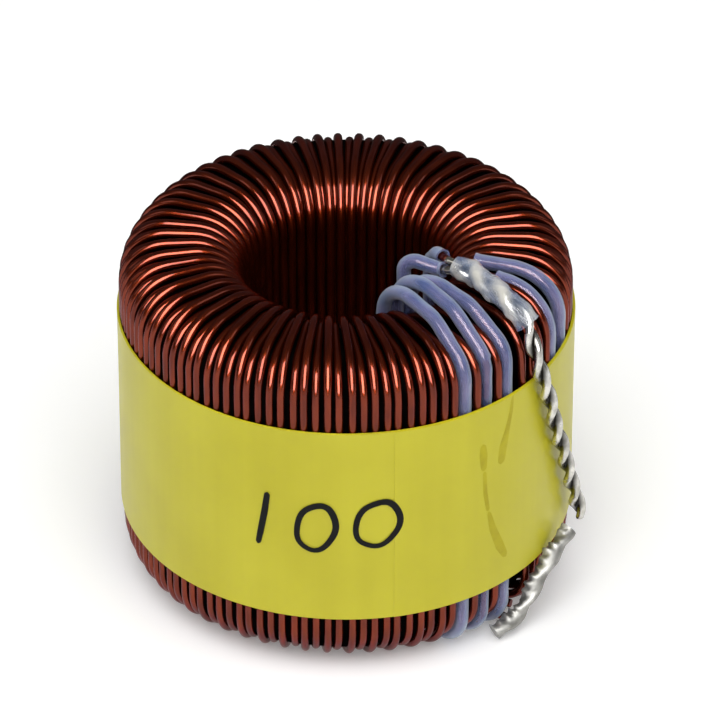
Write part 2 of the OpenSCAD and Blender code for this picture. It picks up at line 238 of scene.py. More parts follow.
# %% The passes
FIRSTS = 6
LASTS = 6
BARE_FIRST, BARE_LAST = 25.4, 77.5
BARE_FIRST_INSIDE, BARE_LAST_INSIDE = 20, 81
FIRST_GAP, FIRST_GAP_INSIDE, LAST_GAP_INSIDE = 0.2, 0.11, 0.02
FIRST_FROM_INSIDE, FIRST_NEXT_INSIDE, LAST_FROM_INSIDE = 23.8, 24.4, 59.2
FIRST_FROM = BARE_FIRST + 3
STRAY_OUT, STRAY_IN = 0.3, 0.2
UNDER_SLEEVES = 0.5
ARCH_IN = [1.7, 3.1, 1.5]
ARCH_OUT = [0.4, 1, 0.6]
ARCH_SHARE = 0.63


def degrees(length, radius):
    """The angle that a length takes up round the coil."""
    return math.degrees(length / radius)


first_pitch = degrees((sleeve_d + wire_d) / 2 + FIRST_GAP, leg_sleeved)
first_pitch_inside = degrees(sleeve_d + FIRST_GAP_INSIDE, row_sleeved) / 2
first_out = [FIRST_FROM + k * first_pitch for k in range(FIRSTS - 1, -1, -1)]
first_in = [FIRST_FROM_INSIDE + k * first_pitch_inside for k in range(FIRSTS - 2, -1, -1)]
first_in.append(FIRST_NEXT_INSIDE)
last_pitch_inside = degrees(wire_d + LAST_GAP_INSIDE, row_a) / 2
last_out = [73.8, 66, 62.2, 58.2, 54.2, 50.2]
last_foot = [73.8, 66, 63, 60.2, 57.4, 54.6]
last_in = [75, 70.6] + [LAST_FROM_INSIDE + k * last_pitch_inside for k in range(3, -1, -1)]
bare_arc = 360 + BARE_FIRST_INSIDE - BARE_LAST_INSIDE
bare_passes = 2 * round(bare_arc / degrees(wire_d + wire_gap, row_a))
lasts_from = FIRSTS + bare_passes
passes = lasts_from + LASTS
rear_pass, right_pass = lasts_from, lasts_from + 1
print("passes:", passes, "of which bare:", bare_passes)

# %% The angle of each pass


def stray(i, most):
    """A pass's wander in degrees: two waves of unequal length, at most this much in all."""
    turn = math.radians(i)
    return most * (0.6 * math.sin(137.5 * turn) + 0.4 * math.sin(61 * turn))


def angle_at(i, first, last, start, end, most):
    """A pass's angle: from the first or the last list, or spread evenly from start to end."""
    if i < FIRSTS:
        return first[i]
    if i < lasts_from:
        return between(start, end - 360, (i - FIRSTS) / (bare_passes - 1)) + stray(i, most)
    return last[i - lasts_from] - 360


def out_angle(i):
    return angle_at(i, first_out, last_out, BARE_FIRST, BARE_LAST, STRAY_OUT)


def foot_angle(i):
    return angle_at(i, first_out, last_foot, BARE_FIRST, BARE_LAST, STRAY_OUT)


def in_angle(i):
    return angle_at(i, first_in, last_in, BARE_FIRST_INSIDE, BARE_LAST_INSIDE, STRAY_IN)


print("angles of a bare pass, outside and inside:", round(out_angle(20), 1), round(in_angle(20), 1))

# %% [markdown]
# Each pass has four corners, and an arched one has five. The functions below give a corner's
# radius, height and bend for a pass with a whole sleeve, a part sleeve or none. A bare pass has
# one bend radius for strand a and one for strand b. Two bends share the stretch over the top, so
# neither may take half of it.

# %% The corners of a pass
MOST_OF_STRETCH = 0.49
SHOULDER_DROP = 0.4
ARCH_BEND = 5
WHOLE_BEND_IN, WHOLE_BEND_TOP, WHOLE_BEND_BOTTOM = 5.5, 4, 4.5
PART_BEND_IN, PART_BEND_TOP, PART_BEND_BOTTOM = 3.5, 6.4, 4.5
BEND_IN = (6.5, 5.2)
BEND_OUT = (5.9, 5)


def is_a(i):
    return i % 2 == 0


def full_sleeve(i):
    return i < FIRSTS and is_a(i)


def part_sleeve(i):
    return i in (rear_pass, right_pass)


def row(i):
    return row_sleeved if full_sleeve(i) else row_a if is_a(i) else row_b


def leg(i):
    return leg_sleeved if full_sleeve(i) or part_sleeve(i) else leg_bare


def fitted(i, r):
    """A bend radius that leaves room for the pass's other bends."""
    return min(r, MOST_OF_STRETCH * (leg(i) - row(i)))


def bare_level(i):
    if is_a(i):
        return level_a
    return level_b - (UNDER_SLEEVES if i < FIRSTS else 0)


def in_bottom(i):
    r = WHOLE_BEND_IN if full_sleeve(i) else BEND_IN[i % 2]
    return at(in_angle(i), row(i), -bare_level(i)), fitted(i, r)


def in_top(i):
    r = WHOLE_BEND_IN if full_sleeve(i) else PART_BEND_IN if part_sleeve(i) else BEND_IN[i % 2]
    height = winding_half + ARCH_IN[i // 2] if full_sleeve(i) else level_a if is_a(i) else level_b
    return at(in_angle(i), row(i), height), fitted(i, r)


def out_top(i):
    r = WHOLE_BEND_TOP if full_sleeve(i) else PART_BEND_TOP if part_sleeve(i) else BEND_OUT[i % 2]
    height = level_a if is_a(i) else level_b
    if full_sleeve(i):
        height = film_half - SHOULDER_DROP
    if part_sleeve(i):
        height = level_sleeved_top
    return at(out_angle(i), leg(i), height), fitted(i, r)


def out_bottom(i):
    r = WHOLE_BEND_BOTTOM if full_sleeve(i) else PART_BEND_BOTTOM if part_sleeve(i) else BEND_OUT[i % 2]
    height = level_sleeved_bottom if full_sleeve(i) else bare_level(i)
    return at(foot_angle(i), leg(i), -height), fitted(i, r)


def over_top(i):
    corners = [in_top(i), out_top(i)]
    if full_sleeve(i):
        arch = between(corners[0][0], corners[1][0], ARCH_SHARE)
        arch[2] = winding_half + ARCH_OUT[i // 2]
        corners.insert(1, (arch, ARCH_BEND))
    return corners


def pass_corners(i):
    return [in_bottom(i)] + over_top(i) + [out_bottom(i)]


print("corners of a bare pass:", len(pass_corners(20)), "and of an arched one:", len(pass_corners(2)))

# %% [markdown]
# ## Lofting a tube
# Wires, sleeves and leads are all sections carried along a path. One function places a section
# at every point of a path and another joins the rings with faces. The texture coordinates run
# from 0 to 1 round the tube and in millimetres along it, so that a finish can follow the wire.

# %% Rings along a path


def rings_along(path, sections, twist=None):
    """Each point's section, set across the path, with its first axis round the coil."""
    ahead = np.vstack([path[1:] - path[:-1], path[-1:] - path[-2:-1]])
    ahead /= np.linalg.norm(ahead, axis=1)[:, None]
    t = ahead + np.vstack([ahead[:1], ahead[:-1]])
    t /= np.linalg.norm(t, axis=1)[:, None]
    around = np.stack([-path[:, 1], path[:, 0], 0 * path[:, 0]], axis=1)
    around /= np.linalg.norm(around, axis=1)[:, None]
    x = around - t * np.sum(around * t, axis=1)[:, None]
    x /= np.linalg.norm(x, axis=1)[:, None]
    y = np.cross(t, x)
    a = np.zeros(len(path)) if twist is None else twist
    u = x * np.cos(a)[:, None] + y * np.sin(a)[:, None]
    v = y * np.cos(a)[:, None] - x * np.sin(a)[:, None]
    return path[:, None] + sections[:, :, :1] * u[:, None] + sections[:, :, 1:] * v[:, None]


def round_sections(radii, sides):
    a = np.arange(sides) * 2 * math.pi / sides
    circle = np.stack([np.cos(a), np.sin(a)], axis=1)
    return np.asarray(radii)[:, None, None] * circle


sample = rings_along(np.array(quarter_bend), round_sections(np.full(len(quarter_bend), wire_r), 16))
print("rings of a wire on the quarter bend:", len(sample), "of", len(sample[0]), "points")

# %% Skins over rings
SMOOTH_BELOW = 50


def to_object(name, verts, faces, corner_uvs=None, smooth_below=SMOOTH_BELOW):
    """A mesh object from points in millimetres, with smooth faces up to an edge angle."""
    mesh = bpy.data.meshes.new(name)
    mesh.from_pydata((np.asarray(verts) * MM).tolist(), [], faces)
    if corner_uvs is not None:
        layer = mesh.uv_layers.new(name="along")
        layer.data.foreach_set("uv", np.asarray(corner_uvs, dtype=np.float32).ravel())
    bm = bmesh.new()
    bm.from_mesh(mesh)
    bmesh.ops.recalc_face_normals(bm, faces=bm.faces)
    bm.to_mesh(mesh)
    bm.free()
    mesh.polygons.foreach_set("use_smooth", [True] * len(mesh.polygons))
    mesh.set_sharp_from_angle(angle=math.radians(smooth_below))
    piece = bpy.data.objects.new(name, mesh)
    bpy.context.scene.collection.objects.link(piece)
    return piece


def skin(name, rings, runs, ring_shaped=False, smooth_below=SMOOTH_BELOW):
    """A closed mesh over rings: capped at both ends, or joined from last to first."""
    n, m = len(rings), len(rings[0])
    faces, uvs = [], []
    for i in range(n if ring_shaped else n - 1):
        j = (i + 1) % n
        for k in range(m):
            l = (k + 1) % m
            faces.append((i * m + k, i * m + l, j * m + l, j * m + k))
            uvs += [(k / m, runs[i]), ((k + 1) / m, runs[i]), ((k + 1) / m, runs[j]), (k / m, runs[j])]
    if not ring_shaped:
        faces += [tuple(range(m - 1, -1, -1)), tuple((n - 1) * m + k for k in range(m))]
        uvs += [(0.5, runs[0])] * m + [(0.5, runs[-1])] * m
    return to_object(name, np.reshape(rings, (-1, 3)), faces, uvs, smooth_below)


def settle(piece, slot, *nodes):
    """The piece rides with the part and stands for these CAD nodes. The slot is not used."""
    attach(piece, "root")
    if nodes:
        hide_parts(*nodes)
    triangles = sum(len(p.vertices) - 2 for p in piece.data.polygons)
    print(piece.name, triangles, "triangles")
    return piece


print("faces are smooth across edges of up to", SMOOTH_BELOW, "degrees")

# %% [markdown]
# ## The enamelled wires
# Each strand is one continuous copper wire from beside the bottom lead to the shrink tube. Its
# path is the corners of all its passes. A curve with a bevel would do, but a lofted mesh gives
# true texture coordinates along the wire. The enamel ends where the wire was stripped and tinned,
# and the wire is a little thinner there.

# %% The ends of the strands
TUBE_FROM = row_a + 3.4
LEAD_FROM = row_a + 4.4
ROOT_INSET = 1.3
SHRINK_WALL = 0.25
SHRINK_FIT = 0.5
shrink_id = 2 * wire_d + SHRINK_FIT
shrink_od = shrink_id + 2 * SHRINK_WALL
tube_level = winding_half + shrink_od / 2 + clear
root_r = leg_bare - ROOT_INSET

start_a = [(at(49, root_r, -level_a), 0)]
start_b = [(at(51.5, root_r, UNDER_SLEEVES - level_b), 0)]
end_a = [(at(56.5, row_a, -level_a), 6.5),
         (at(56.5, row_a, -level_a + 8), 3),
         (at(60, end_row, -0.32 * winding_half), 3),
         (at(65, end_row, 0.08 * winding_half), 4),
         (at(72, end_row + 1.6, 0.4 * winding_half), 3),
         (at(72, end_row + 1.6, winding_half - 1), 2),
         (at(66.5, row_a - 0.8, winding_half + 1.05), 1.4),
         (at(59, row_a + 1.8, winding_half + 1.75), 0.8),
         (at(58.6, LEAD_FROM - 0.35, tube_level), 0)]
end_b = [(at(53.5, row_b, -level_b), 5.2),
         (at(53.5, row_b, -0.16 * winding_half), 3),
         (at(52, end_row, 0.2 * winding_half), 2.5),
         (at(49, end_row, 0.53 * winding_half), 3),
         (at(49, end_row, winding_half + 1.4), 1.8),
         (at(56, row_a + 1, winding_half + 0.6), 1.2),
         (at(55, TUBE_FROM - 0.2, tube_level - 0.4), 0.8),
         (at(54.5, LEAD_FROM - 0.35, tube_level), 0)]

print("corners of the ends:", len(start_a + end_a), "on strand a,", len(start_b + end_b), "on strand b")

# %% The two strands
WIRE_SIDES = 16
WIRE_SPACING = 4
STUB_LENGTH = 3.1
STUB_R = 0.92 * wire_r


def strand_path(first, start, end):
    corners = list(start)
    for i in range(first, passes, 2):
        corners += pass_corners(i)
    return resampled(bent_path(corners + end), WIRE_SPACING)


def strand_and_stub(name, first, start, end):
    """A strand's enamelled wire, and its stripped and tinned last stretch."""
    path = strand_path(first, start, end)
    runs = run_lengths(path)
    stripped = int(np.searchsorted(runs, runs[-1] - STUB_LENGTH))
    enamelled = ("", wire_r, path[:stripped + 1])
    stub = ("_bare_end", STUB_R, path[stripped:])
    parts = []
    for part, radius, points in (enamelled, stub):
        rings = rings_along(points, round_sections(np.full(len(points), radius), WIRE_SIDES))
        parts.append(skin(name + part, rings, run_lengths(points)))
    return parts


strand_a, bare_end_a = strand_and_stub("enamelled_strand_a", 0, start_a, end_a)
strand_b, bare_end_b = strand_and_stub("enamelled_strand_b", 1, start_b, end_b)
settle(strand_a, "enamelled_wire", "winding_strand_a")
settle(strand_b, "enamelled_wire", "winding_strand_b")
settle(bare_end_a, "tinned_copper")
settle(bare_end_b, "tinned_copper")

# %% [markdown]
# ## The sleeves
# Extruded sleeving is slipped over the turns that lie next to the leads. It is a real tube with
# a wall, because the wire shows through it and the wall's edge shows at the cut. The cut ends
# flare a little, and two slow waves along the tube keep it from looking turned. The second sleeve
# has a step, as if a wide piece ended over a narrower one.

# %% Sleeve tubes
SLEEVE_SIDES = 20
SLEEVE_SPACING = 0.6
FLARE = 0.12
FLARE_LENGTH = 0.9
STEP_FLARE = 1.2 * FLARE
STEP_DROP = 0.13


def hollow_tube(name, path, outer, wall, sides=SLEEVE_SIDES, wobble=None):
    """A tube with a wall: its outer skin, its rim, its bore and its other rim."""
    outer = np.broadcast_to(np.asarray(outer, dtype=float), len(path))
    outside = rings_along(path, round_sections(outer, sides))
    inside = rings_along(path, round_sections(outer - wall, sides))
    if wobble is not None:
        outside = outside + wobble(outside)
        inside = inside + wobble(inside)
    runs = run_lengths(path)
    rings = np.concatenate([outside, inside[::-1]])
    return skin(name, rings, np.concatenate([runs, runs[::-1]]), ring_shaped=True, smooth_below=60)


def flared(path, radius, at_start=True, at_end=True):
    """The radius at each point of a path, a little wider towards each cut end."""
    runs = run_lengths(path)
    radii = np.full(len(path), radius)
    for wanted, distance in ((at_start, runs), (at_end, runs[-1] - runs)):
        if wanted:
            radii = radii + FLARE * np.clip(1 - distance / FLARE_LENGTH, 0, 1) ** 2
    return radii


def sleeve(name, corners, node, step_at=None):
    """A sleeve on its corners; step_at is how far along it a wide piece ends."""
    path = resampled(bent_path(corners), SLEEVE_SPACING)
    radii = flared(path, sleeve_d / 2)
    runs = run_lengths(path)
    radii = radii * (1 + 0.012 * np.sin(runs * 1.7) + 0.01 * np.sin(runs * 0.63 + 1))
    if step_at is not None:
        before = np.clip(1 - np.abs(step_at - runs) / FLARE_LENGTH, 0, 1) ** 2 * (runs < step_at)
        radii = radii + STEP_FLARE * before - STEP_DROP * (runs >= step_at)
    piece = hollow_tube(name, path, radii, sleeve_wall)
    return settle(piece, "sleeve", node)


print("a sleeve is", round(sleeve_d, 2), "mm across, with a wall of", sleeve_wall, "mm")

# %% The seven sleeves
TURN_SLEEVE_FOOT = 0.25 * winding_half
TURN_SLEEVE_UNDER = 0.42
PART_SLEEVE_FOOT = -8


def turn_sleeve(name, i, node, step_at=None):
    """A sleeve up the hole, over the top, down the outside and part of the way underneath."""
    foot = (at(in_angle(i), row(i), TURN_SLEEVE_FOOT), 0)
    tail = (between(out_bottom(i)[0], in_bottom(i + 2)[0], TURN_SLEEVE_UNDER), 0)
    return sleeve(name, [foot] + over_top(i) + [out_bottom(i), tail], node, step_at)


def part_turn_sleeve(name, i, past_bend, node):
    """A sleeve over the outer shoulder, from a little past the bend at the hole."""
    share = (in_top(i)[1] + past_bend) / (leg(i) - row(i))
    start = (between(in_top(i)[0], out_top(i)[0], share), 0)
    foot = (at(out_angle(i), leg(i), PART_SLEEVE_FOOT), 0)
    return sleeve(name, [start, out_top(i), foot], node)


def end_sleeve(name, end, foot, past, reach, node):
    """A sleeve on a strand's end, from a height in the hole to a share of the way past a corner."""
    rise = end[past - 1][0]
    low = (np.array([rise[0], rise[1], foot]), 0)
    tip = (between(end[past][0], end[past + 1][0], reach), 0)
    return sleeve(name, [low] + end[past - 1:past + 1] + [tip], node)


sleeves = [turn_sleeve("sleeve_front", 4, "turn_sleeve_front"),
           turn_sleeve("sleeve_second", 2, "turn_sleeve_second", step_at=36.5),
           turn_sleeve("sleeve_third", 0, "turn_sleeve_third"),
           part_turn_sleeve("sleeve_right", right_pass, 3.1, "turn_sleeve_right"),
           part_turn_sleeve("sleeve_rear", rear_pass, 0.3, "turn_sleeve_rear"),
           end_sleeve("sleeve_end_a", end_a, 0.45 * winding_half, 6, 0.5, "end_sleeve_a"),
           end_sleeve("sleeve_end_b", end_b, 0.61 * winding_half, 5, 0.3, "end_sleeve_b")]
print("sleeves:", len(sleeves))

# %% [markdown]
# ## The twisted leads
# The two strands leave the coil twisted together, stripped and dipped in solder. The section is
# two touching circles whose grooves are filled with solder, and it turns once per lay. The top
# lead was dipped lightly and keeps deep grooves. The bottom one is fuller, and on its upper side,
# towards the tape, the solder set in small teeth. Small swells along the lead come from the
# solder too.

# %% The routes of the leads
LAY = 9.8
LEAD_GAP = 0.15
tape_side = tape_r_out + LEAD_GAP + wire_d


def across(share):
    """A radius over the top, as a share of the way from the hole to the outside."""
    return between(row_a, leg_bare, share)


over_coil = [(56.6, across(0.37), tube_level), (53.9, across(0.56), tube_level),
             (52, across(0.75), tube_level - 0.2), (51.9, across(0.915), winding_half + 0.4)]
tube_route = [(57, TUBE_FROM, tube_level), *over_coil, (52.3, across(1.02), winding_half - 1.2)]
top_route = [(56.6, LEAD_FROM, tube_level), *over_coil, (52.2, across(1.02), winding_half - 1.2),
             (51.5, tape_side - 0.55, winding_half - 4.6),
             (53.9, tape_side, 0.61 * winding_half),
             (57.1, tape_side, 0.423 * winding_half),
             (60.4, tape_side, 0.195 * winding_half),
             (63.8, tape_side, 0.04 * winding_half),
             (68.8, tape_side + 0.1, -0.228 * winding_half),
             (74.4, tape_side + 0.5, -0.512 * winding_half),
             (75.4, tape_side + 0.7, -0.585 * winding_half)]
bottom_route = [(41.4, leg_bare + 0.5, 1 - winding_half),
                (44.6, leg_bare + 0.8, 1.7 - winding_half),
                (48.4, leg_bare + 1.1, 2.4 - winding_half),
                (51.4, leg_bare + 1.5, 4.3 - winding_half),
                (54.3, leg_bare + 1.8, 6.5 - winding_half),
                (57.4, tape_side, -0.656 * winding_half),
                (61.8, tape_side + 0.15, -0.614 * winding_half),
                (66.9, tape_side + 0.6, -0.557 * winding_half)]
print("route points of the leads:", len(top_route), "and", len(bottom_route))

# %% Leads
LEAD_SIDES = 40
LEAD_SPACING = 0.2
ROUNDING = 5
TOOTH = 1.2
TEETH_TURN = math.pi / 4


def pair_sections(runs, fill, swell, phase, teeth):
    """Two touching circles with grooves filled to a level, small swells, and teeth on one side."""
    a = np.arange(LEAD_SIDES) * 2 * math.pi / LEAD_SIDES
    lobes = 2 * np.abs(np.cos(a))
    level = fill * (1 + 0.22 * np.sin(runs * 0.9 + phase) * np.sin(runs * 0.37 + phase))
    r = wire_r * (lobes[None] ** ROUNDING + level[:, None] ** ROUNDING) ** (1 / ROUNDING)
    r = r * (1 + swell * np.sin(runs * 2.1 + phase) * np.sin(runs * 0.8))[:, None]
    facing = a[None] + 2 * math.pi * runs[:, None] / LAY + TEETH_TURN
    ridge = 2 * np.abs(runs / TOOTH % 1 - 0.5) - 0.5
    r = r * (1 + teeth * np.clip(-np.cos(facing), 0, 1) ** 4 * ridge[:, None])
    return np.stack([r * np.cos(a), r * np.sin(a)], axis=2)


def twisted_lead(name, route, fill, swell, phase, teeth, node):
    """A lead whose section turns once in each lay; the higher the fill, the fuller its grooves."""
    path = smooth_route(route, LEAD_SPACING)
    runs = run_lengths(path)
    rings = rings_along(path, pair_sections(runs, fill, swell, phase, teeth), 2 * math.pi * runs / LAY)
    return settle(skin(name, rings, runs, smooth_below=55), "tinned_copper", node)


top_lead = twisted_lead("twisted_lead_top", top_route, 0.7, 0.02, 0.4, 0, "top_lead")
bottom_lead = twisted_lead("twisted_lead_bottom", bottom_route, 1.6, 0.01, 2.1, 0.6, "bottom_lead")

# %% [markdown]
# ## The clear shrink tube
# Heat-shrink tubing covers the start of the top lead. It shrank unevenly over the twist, so its
# wall follows the two wires in soft folds, and its outer end stands open. The folds are moved
# into the mesh, because they catch the light along the edge as well as on the face.

# %% Shrink tube
FOLD = 0.12
FOLD_LEVEL = 0.9
CALM_END = 2.5
TWIST_STARTS = 1
TUBE_SIDES = 36
TUBE_SPACING = 0.3


def crumpled(rings):
    """Soft folds that wind round the tube at the lay of its wires, with finer ones between."""
    centres = rings.mean(axis=1)
    runs = run_lengths(centres)
    out = rings - centres[:, None]
    out = out / np.linalg.norm(out, axis=2)[:, :, None]
    a = np.arange(rings.shape[1]) * 2 * math.pi / rings.shape[1]
    turn = 2 * math.pi * (runs - TWIST_STARTS) / LAY
    fold = np.cos(2 * (a[None] - turn[:, None])) + 0.5 * np.sin(5 * a[None] + runs[:, None] * 1.9)
    fold = fold + 0.4 * np.sin(3 * a[None] - runs[:, None] * 3.1)
    calm = np.clip((runs[-1] - runs) / CALM_END, 0.2, 1)[:, None]
    return out * (FOLD * calm * (fold - FOLD_LEVEL))[:, :, None]


tube_path = smooth_route(tube_route, TUBE_SPACING)
tube_radii = flared(tube_path, shrink_od / 2, at_start=False)
shrink_tube = hollow_tube("clear_shrink_tube", tube_path, tube_radii, SHRINK_WALL,
                          sides=TUBE_SIDES, wobble=crumpled)
settle(shrink_tube, "clear_tube", "shrink_tube")

# %% [markdown]
# ## The film on the core
# Dark film is wrapped loosely over the stack of cores, and the turns press on it. It bulges up
# to about the middle of the wires, so no light comes through under them. The lower part of the
# turns is sunk in it and can't be seen. Beside the sleeved turns, which need more room, it lies
# on the core. It is lofted round the coil, one section for each angle.

# %% Core film
FILM_STEPS = 180
FLAT_FROM, FLAT_TO = 18, 84
FLAT_EASE = 5
FILM_BULGE_SIDE = 2.1
FILM_BULGE_FACE = 1.8
FILM_BULGE_HOLE = 0.75
FILM_SLACK = 0.1
FILM_CORNER, FILM_CORNER_LOOSE = 1.8, 5


def rounded_box(r_in, r_out, half, corner, steps=7):
    """A section with four round corners, as radius and height points."""
    points = []
    for r, z, start in ((r_out - corner, half - corner, 0), (r_in + corner, half - corner, 90),
                        (r_in + corner, corner - half, 180), (r_out - corner, corner - half, 270)):
        for k in range(steps):
            a = math.radians(start + 90 * k / (steps - 1))
            points.append((r + corner * math.cos(a), z + corner * math.sin(a)))
    return points


def bulge_at(angle):
    """1 where the film is loose, 0 beside the sleeves."""
    inside = min(angle - FLAT_FROM, FLAT_TO - angle) / FLAT_EASE
    return 1 - max(0, min(1, inside))


film_rings = []
film_angles = [360 * k / FILM_STEPS for k in range(FILM_STEPS)]
for angle in film_angles:
    loose = bulge_at(angle)
    side = film_r_out + FILM_SLACK + FILM_BULGE_SIDE * loose
    face = film_half + FILM_BULGE_FACE * loose
    corner = between(FILM_CORNER, FILM_CORNER_LOOSE, loose)
    section = rounded_box(film_r_in - FILM_BULGE_HOLE, side, face, corner)
    film_rings.append([at(angle, r, z) for r, z in section])
film = skin("core_wrap_film", np.array(film_rings), [math.radians(a) * film_r_out for a in film_angles],
            ring_shaped=True)
settle(film, "film", "core_film")

# %% [markdown]
# ## The tape band
# Polyester tape is wound tightly round the coil in four full turns and a part turn, whose cut
# end leaves a step at the front. The turns don't lie exactly edge on edge, so their edges show
# as fine lines. A turned section would be too perfect: this band is lofted round the coil, with
# a slightly different section at each angle.

# %% Tape
TAPE_TURNS = 5
TAPE_LAYER = 0.07
TAPE_END = 12
TAPE_LAST_ARC = 250
TAPE_STEPS = 360
TAPE_CUT = 0.002
EDGE_INSET = 0.05
EDGE_WANDER = 0.05
EDGE_STEP = 0.02
FACE_INSET = 0.02
tape_r_in = tape_r_out - TAPE_TURNS * TAPE_LAYER


def edge_shift(turn, angle):
    """How far a turn's edge wanders from the band's own edge, in millimetres."""
    a = math.radians(angle)
    return EDGE_WANDER * math.sin(a * (1 + turn % 3) + 2.1 * turn) - EDGE_STEP * turn


def tape_section(angle):
    """Points of the band's section: the edges of its turns, top and bottom, and a fine ripple."""
    past_end = (angle - TAPE_END) % 360
    last = 1 if past_end < TAPE_LAST_ARC else 0
    turns = TAPE_TURNS - 1 + last
    top, bottom = [], []
    for turn in range(TAPE_TURNS):
        shown = min(turn, turns - 1)
        r_low = tape_r_in + min(turn, turns) * TAPE_LAYER
        r_high = tape_r_in + min(turn + 1, turns) * TAPE_LAYER
        shift = edge_shift(shown, angle)
        top += [(r, tape_top - EDGE_INSET + shift) for r in (r_low, r_high)]
        bottom += [(r, tape_bottom + EDGE_INSET - shift) for r in (r_low, r_high)]
    face = []
    a = math.radians(angle)
    for share in np.linspace(0.06, 0.94, 12):
        ripple = 0.012 * math.sin(9 * a + 3 * share) + 0.008 * math.sin(23 * a + 5 * share)
        r = tape_r_in + turns * TAPE_LAYER - FACE_INSET + ripple
        face.append((r, between(tape_top, tape_bottom, share)))
    return top + face + bottom[::-1]


def tape_rings():
    """A ring at every step, and a pair close together at each end of the part turn."""
    angles = [TAPE_END + 360 * k / TAPE_STEPS for k in range(1, TAPE_STEPS)]
    for end in (TAPE_END, TAPE_END + TAPE_LAST_ARC, TAPE_END + 360):
        angles += [end - TAPE_CUT, end + TAPE_CUT]
    angles = sorted(angle for angle in set(angles) if TAPE_END < angle < TAPE_END + 360)
    rings = [[at(angle, r, z) for r, z in tape_section(angle)] for angle in angles]
    return np.array(rings), [math.radians(angle) * tape_r_out for angle in angles]


rings, runs = tape_rings()
tape = settle(skin("yellow_tape", rings, runs, ring_shaped=True, smooth_below=35), "tape", "tape_band")

# %% [markdown]
# ## Marks on the tape
# The winder wrote a plain number on the tape with a felt marker, and some adhesive dried in
# streaks beside the lead. Both are thin films on a round face. A stroke is a row of points,
# listed one by one or on an uneven ellipse, each with its half width. A ribbon through them is laid
# on the tape's own curve, with its edges lower than its middle.

# %% Strokes on the tape
INK_LIFT = 0.015
SMEAR_LIFT = 0.008
EDGE_LIFT = 0.004
UNDER_LIFT = 0.002
STROKE_SPACING = 0.25
LEAN = 0.16


def arc_points(centre, size, start, end, width, count=48):
    """Stroke points on a leaning, uneven ellipse, in degrees from its top, turning clockwise."""
    points = []
    for k in range(count + 1):
        a = math.radians(between(start, end, k / count))
        lean = LEAN * size[1] * math.cos(a)
        uneven = 1 + 0.04 * math.sin(2 * a + centre[0]) + 0.02 * math.sin(5 * a)
        x = centre[0] + lean + uneven * size[0] * math.sin(a)
        y = centre[1] + uneven * size[1] * math.cos(a)
        points.append((x, y, width * (1 + 0.12 * math.sin(a + 1))))
    return points


def stroke_rings(points, lift):
    """The rings of one ribbon: places are millimetres to the right and up on the tape."""
    p = resampled(np.array(points, dtype=float), STROKE_SPACING)
    ahead = np.gradient(p[:, :2], axis=0)
    side = np.stack([-ahead[:, 1], ahead[:, 0]], axis=1)
    side /= np.linalg.norm(side, axis=1)[:, None] + 1e-9
    runs = run_lengths(p)
    ends = np.clip(np.minimum(runs, runs[-1] - runs) / p[:, 2].max(), 0, 1)
    half = p[:, 2] * np.sqrt(1 - (1 - ends) ** 2).clip(0.15)
    verts = []
    for level in (lift, UNDER_LIFT):
        for sign in (-1, -0.35, 0.35, 1):
            q = p[:, :2] + side * (half * sign)[:, None]
            height = level if abs(sign) < 1 else min(level, EDGE_LIFT)
            verts.append([at(math.degrees(x / tape_r_out), tape_r_out + height, z) for x, z in q])
    upper_then_lower_edges = [0, 1, 2, 3, 7, 4]
    return np.array(verts)[upper_then_lower_edges].transpose(1, 0, 2)


def strokes(name, lines, lift, slot):
    """One piece from several ribbons."""
    verts, faces = [], []
    for line in lines:
        rings = stroke_rings(line, lift)
        n, m = rings.shape[:2]
        base = len(verts)
        verts += rings.reshape(-1, 3).tolist()
        for i in range(base, base + (n - 1) * m, m):
            for k in range(m):
                l = (k + 1) % m
                faces.append((i + k, i + l, i + m + l, i + m + k))
        faces.append(tuple(base + k for k in range(m - 1, -1, -1)))
        faces.append(tuple(base + (n - 1) * m + k for k in range(m)))
    return settle(to_object(name, verts, faces, smooth_below=40), slot)


print("a stroke has a point every", STROKE_SPACING, "mm")

# %% The number and the streaks
digit_strokes = [[(-10.4, 4, 0.4), (-10.8, 1, 0.46), (-11.4, -2.5, 0.44), (-11.8, -4.6, 0.36)],
                 arc_points((-3.9, -0.7), (2.6, 3.5), 25, 400, 0.42),
                 arc_points((4.2, -0.1), (2.8, 3.6), -10, 362, 0.42)]
ink = strokes("marker_number", digit_strokes, INK_LIFT, "film")

smear_strokes = [[(19.1, 8.7, 0.45), (19.2, 6.8, 0.65), (19.3, 4.4, 0.45)],
                 [(19.4, 4.2, 0.28), (19.6, 0.6, 0.34), (20.1, -2.4, 0.3)],
                 [(20.2, -2.6, 0.3), (20.9, -5.6, 0.55), (22.2, -9, 0.7), (23.4, -11.4, 0.45)],
                 [(24.2, 14.2, 0.2), (23.9, 11.8, 0.34), (23.3, 9.4, 0.42), (22.6, 7, 0.72),
                  (22.2, 4.2, 0.6)]]
smears = strokes("adhesive_streaks", smear_strokes, SMEAR_LIFT, "tape")

# %% [markdown]
# ## Materials
# Colours are written as sRGB hex, the way a colour picker gives them, and one function turns
# them to the linear values that Blender wants. Another adds a node with its settings and links.
# Every pattern's scale comes from a real size: a noise texture on object coordinates, which are
# in metres, has a scale of about one over the size of its spots. Along a wire or the tape the
# texture coordinates are in millimetres, and there it is one over the length in millimetres.

# %% Material helpers


def linear(code):
    """A linear colour from an sRGB hex code."""
    parts = [int(code[k:k + 2], 16) / 255 for k in (1, 3, 5)]
    return tuple(c / 12.92 if c <= 0.04045 else ((c + 0.055) / 1.055) ** 2.4 for c in parts) + (1,)


